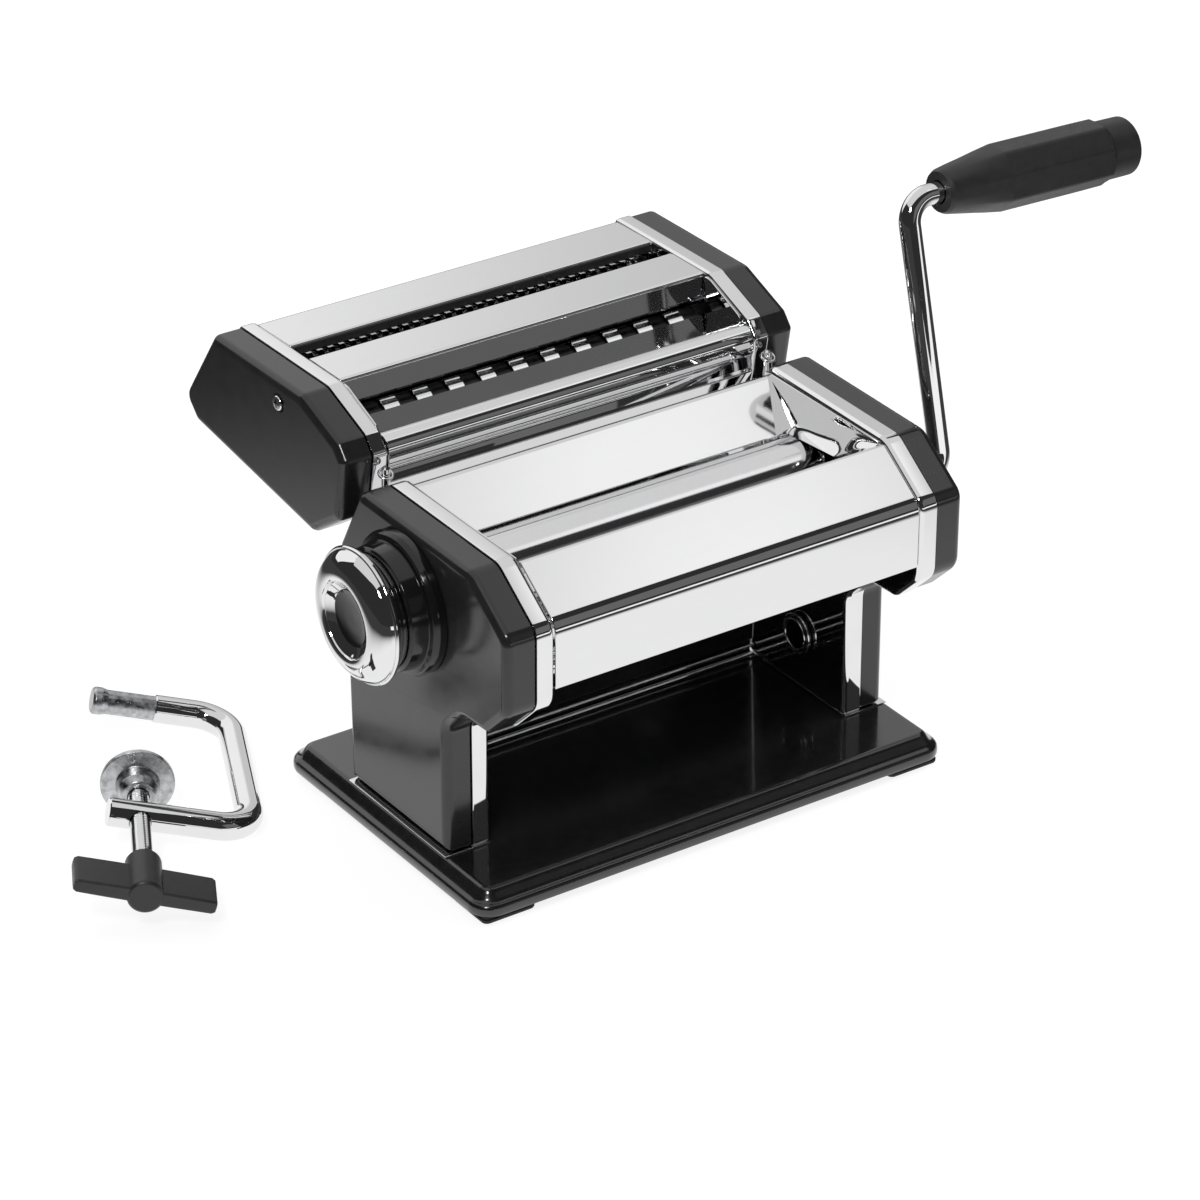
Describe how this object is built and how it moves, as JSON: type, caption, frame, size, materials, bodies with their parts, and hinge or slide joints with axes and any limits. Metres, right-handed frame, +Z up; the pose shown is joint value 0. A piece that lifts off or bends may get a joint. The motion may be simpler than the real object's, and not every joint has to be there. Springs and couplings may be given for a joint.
{
  "type": "pasta roller machine",
  "caption": "Hand-cranked machine that rolls dough between smooth rollers and slices it in a lift-off cutter head, with its table clamp lying beside it.",
  "frame": {"origin": "on the table surface under the middle of the base plate", "axes": "+X along the rollers to the crank side, +Y back to the cutter head, +Z up"},
  "size_m": [0.4271, 0.2062, 0.2118],
  "materials": {
    "chrome": "polished",
    "steel": "ground",
    "alloy": "satin",
    "gloss_black": "glossy",
    "black_paint": "glossy enamel",
    "matte_black": "satin",
    "rubber": "matte",
    "zinc": "zinc plated"
  },
  "bodies": {
    "frame": {"base_plate": "black_paint", "foot_front_left": "rubber", "foot_front_right": "rubber", "foot_back_left": "rubber", "foot_back_right": "rubber", "side_plate_left": "chrome", "side_plate_right": "chrome", "side_cover_left": "gloss_black", "side_cover_right": "gloss_black", "rear_hood": "chrome", "back_panel": "gloss_black", "front_hood": "chrome", "dough_guide_left": "chrome", "dough_guide_right": "chrome", "scraper_front": "steel", "scraper_rear": "steel", "tie_rod": "steel", "front_bush_left": "steel", "front_bush_right": "steel", "dial_collar": "gloss_black", "clamp_sleeve": "chrome", "head_rail_left": "chrome", "head_rail_right": "chrome"},
    "front_roller_set": {"front_roller": "steel", "front_gear": "steel"},
    "carriage": {"bearing_block_left": "alloy", "bearing_block_right": "alloy", "carriage_bar": "steel"},
    "rear_roller_set": {"rear_roller": "steel", "rear_gear": "steel"},
    "crank": {"crank_rod": "chrome"},
    "grip": {"crank_grip": "matte_black"},
    "dial": {"dial_shaft": "steel"},
    "knob": {"thickness_knob": "chrome"},
    "cutter_head": {"head_plate_left": "chrome", "head_plate_right": "chrome", "head_cover_left": "gloss_black", "head_cover_right": "gloss_black", "cover_screw_left": "chrome", "cover_screw_right": "chrome", "head_hook_left": "chrome", "head_hook_right": "chrome", "head_back_sheet": "chrome", "head_middle_sheet": "chrome", "head_front_bar": "chrome", "stripper_wide": "steel", "stripper_narrow": "steel"},
    "wide_front": {"wide_cutter_front": "steel", "wide_gear_front": "steel"},
    "wide_rear": {"wide_cutter_rear": "steel", "wide_gear_rear": "steel"},
    "narrow_front": {"narrow_cutter_front": "steel", "narrow_gear_front": "steel"},
    "narrow_rear": {"narrow_cutter_rear": "steel", "narrow_gear_rear": "steel"},
    "clamp": {"clamp_frame": "chrome"},
    "clamp_foot": {"clamp_pad": "zinc"},
    "clamp_screw": {"clamp_spindle": "chrome", "clamp_handle": "matte_black"}
  },
  "joints": [
    {"name": "crank_turn", "type": "hinge", "parent": "frame", "child": "front_roller_set", "pos_m": [0, -0.0422, 0.104], "axis": [1, 0, 0], "continuous": true},
    {"name": "gap_slide", "type": "slide", "parent": "frame", "child": "carriage", "axis": [0, -1, 0], "range_m": [0, 0.0024]},
    {"name": "rear_roller_turn", "type": "hinge", "parent": "carriage", "child": "rear_roller_set", "pos_m": [0, -0.0125, 0.104], "axis": [1, 0, 0], "continuous": true},
    {"name": "crank_pull", "type": "slide", "parent": "front_roller_set", "child": "crank", "axis": [1, 0, 0], "range_m": [0, 0.022]},
    {"name": "grip_spin", "type": "hinge", "parent": "crank", "child": "grip", "pos_m": [0.111, -0.017, 0.201], "axis": [0.9994, 0, -0.0349], "continuous": true},
    {"name": "dial_turn", "type": "hinge", "parent": "frame", "child": "dial", "pos_m": [0, -0.0137, 0.104], "axis": [1, 0, 0], "range_deg": [0, 180]},
    {"name": "knob_pull", "type": "slide", "parent": "dial", "child": "knob", "axis": [-1, 0, 0], "range_m": [0, 0.004], "stiffness_N_per_m": 900, "springref_m": -0.002},
    {"name": "head_lift", "type": "slide", "parent": "frame", "child": "cutter_head", "axis": [0, 0, 1], "range_m": [0, 0.05]},
    {"name": "wide_front_turn", "type": "hinge", "parent": "cutter_head", "child": "wide_front", "pos_m": [0, 0.043, 0.131], "axis": [1, 0, 0], "continuous": true},
    {"name": "wide_rear_turn", "type": "hinge", "parent": "cutter_head", "child": "wide_rear", "pos_m": [0, 0.061, 0.131], "axis": [1, 0, 0], "continuous": true},
    {"name": "narrow_front_turn", "type": "hinge", "parent": "cutter_head", "child": "narrow_front", "pos_m": [0, 0.083, 0.137], "axis": [1, 0, 0], "continuous": true},
    {"name": "narrow_rear_turn", "type": "hinge", "parent": "cutter_head", "child": "narrow_rear", "pos_m": [0, 0.101, 0.137], "axis": [1, 0, 0], "continuous": true},
    {"name": "clamp_lift", "type": "slide", "parent": "frame", "child": "clamp", "axis": [0, 0, 1], "range_m": [0, 0.06]},
    {"name": "clamp_travel", "type": "slide", "parent": "clamp", "child": "clamp_foot", "axis": [0.4651, 0.8852, 0], "range_m": [0, 0.024]},
    {"name": "clamp_turn", "type": "hinge", "parent": "clamp_foot", "child": "clamp_screw", "pos_m": [-0.17072, 0.04431, 0.01537], "axis": [0.4651, 0.8852, 0], "range_deg": [0, 2880]}
  ],
  "couplings": [
    {"joint": "dial_turn", "follows": "gap_slide", "rad_per_m": 1309},
    {"joint": "rear_roller_turn", "follows": "crank_turn", "ratio": -1},
    {"joint": "wide_front_turn", "follows": "wide_rear_turn", "ratio": -1},
    {"joint": "narrow_front_turn", "follows": "narrow_rear_turn", "ratio": -1},
    {"joint": "clamp_turn", "follows": "clamp_travel", "rad_per_m": 2094.4}
  ]
}
